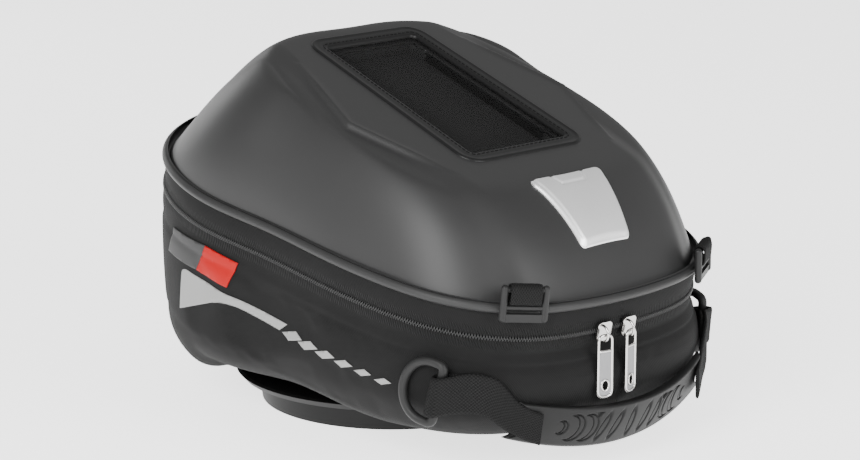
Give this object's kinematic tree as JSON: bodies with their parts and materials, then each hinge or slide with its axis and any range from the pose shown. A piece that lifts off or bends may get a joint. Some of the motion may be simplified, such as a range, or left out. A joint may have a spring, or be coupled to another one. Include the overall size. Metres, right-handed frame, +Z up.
{
  "type": "motorcycle tank bag",
  "caption": "Domed semi-rigid tank bag with a zipped lid, clear phone window, front badge, carrying handle, strap rings and a ring lock underneath.",
  "frame": {"origin": "centre of the lock socket's mouth, on the bottom face of the lock ring", "axes": "+Z up out of the tank, +Y forward to the hinge end, +X to the right seen from the rider's end"},
  "size_m": [0.2306, 0.3118, 0.1985],
  "materials": {
    "soft_touch": "satin soft-touch coating over moulded foam",
    "twill": "coarse twill weave",
    "cord_trim": "smooth matt piping",
    "zip_tape": "fine woven tape",
    "zip_coil": "nylon coil",
    "film": "clear flexible film",
    "lining": "smooth lining cloth",
    "badge_metal": "satin silver",
    "board": "stiffener sheet",
    "hard_plastic": "fine moulded grain",
    "label": "two-tone moulded tag",
    "steel": "zinc plated",
    "grip_rubber": "satin moulded rubber",
    "nickel": "polished nickel",
    "webbing": "heavy ribbed webbing",
    "reflective": "retroreflective print"
  },
  "bodies": {
    "base": {"base_shell": "twill", "base_lining": "lining", "floor_board": "board", "backing_ring": "hard_plastic", "zip_tape_lower": "zip_tape", "zip_coil_lower": "zip_coil", "hinge_cloth_base": "twill", "side_label": "label", "reflective_left": "reflective", "reflective_right": "reflective", "lock_ring": "hard_plastic", "lock_plate": "hard_plastic", "lock_screws": "steel", "lock_nuts": "steel", "wall_strap_left": "webbing", "wall_strap_right": "webbing"},
    "lid": {"lid_shell": "soft_touch", "lid_lining": "lining", "lid_band": "twill", "lid_piping": "cord_trim", "zip_tape_upper": "zip_tape", "zip_coil_upper": "zip_coil", "hinge_cloth_lid": "twill", "window_frame": "soft_touch", "window_film": "film", "phone_pocket": "lining", "badge": "badge_metal", "buckle_tab_left": "webbing", "buckle_tab_right": "webbing"},
    "handle": {"handle_grip": "grip_rubber", "handle_strap_left": "webbing", "handle_strap_right": "webbing"},
    "latch": {"release_latch": "hard_plastic"},
    "slider_left": {"slider_left": "nickel"},
    "slider_right": {"slider_right": "nickel"},
    "puller_left": {"puller_left": "nickel"},
    "puller_right": {"puller_right": "nickel"},
    "buckle_left": {"buckle_left": "hard_plastic"},
    "buckle_right": {"buckle_right": "hard_plastic"},
    "d_ring_left": {"d_ring_left": "hard_plastic"},
    "d_ring_right": {"d_ring_right": "hard_plastic"}
  },
  "joints": [
    {"name": "lid_hinge", "type": "hinge", "parent": "base", "child": "lid", "pos_m": [0, 0.12933, 0.12526], "axis": [-1, 0, 0], "range_deg": [0, 95]},
    {"name": "handle_swing", "type": "hinge", "parent": "base", "child": "handle", "pos_m": [0, -0.1568, 0.0475], "axis": [-1, 0, 0], "range_deg": [0, 45]},
    {"name": "latch_slide", "type": "slide", "parent": "base", "child": "latch", "axis": [0, -1, 0], "range_m": [0, 0.005], "stiffness_N_per_m": 300},
    {"name": "slider_right_travel", "type": "hinge", "parent": "base", "child": "slider_right", "pos_m": [0, 0.0531, 0.11127], "axis": [0, -0.1805, 0.9836], "range_deg": [0, 8.5]},
    {"name": "puller_right_swing", "type": "hinge", "parent": "slider_right", "child": "puller_right", "pos_m": [0.00021, -0.17508, 0.06939], "axis": [-0.9781, -0.2079, 0], "range_deg": [0, 150]},
    {"name": "slider_left_travel", "type": "hinge", "parent": "base", "child": "slider_left", "pos_m": [0, 0.0531, 0.11127], "axis": [0, 0.1805, -0.9836], "range_deg": [0, 5]},
    {"name": "puller_left_swing", "type": "hinge", "parent": "slider_left", "child": "puller_left", "pos_m": [-0.01774, -0.17442, 0.06952], "axis": [-0.9781, 0.2079, 0], "range_deg": [0, 150]},
    {"name": "buckle_right_swing", "type": "hinge", "parent": "lid", "child": "buckle_right", "pos_m": [0.06527, -0.1653, 0.09945], "axis": [-0.879, -0.469, -0.0861], "range_deg": [0, 120]},
    {"name": "d_ring_right_swing", "type": "hinge", "parent": "base", "child": "d_ring_right", "pos_m": [0.09725, -0.13705, 0.0465], "axis": [0.1061, 0.1909, -0.9759], "range_deg": [0, 90]},
    {"name": "buckle_left_swing", "type": "hinge", "parent": "lid", "child": "buckle_left", "pos_m": [-0.06527, -0.1653, 0.09945], "axis": [-0.879, 0.469, 0.0861], "range_deg": [0, 120]},
    {"name": "d_ring_left_swing", "type": "hinge", "parent": "base", "child": "d_ring_left", "pos_m": [-0.09725, -0.13705, 0.0465], "axis": [0.1061, -0.1909, 0.9759], "range_deg": [0, 90]}
  ]
}
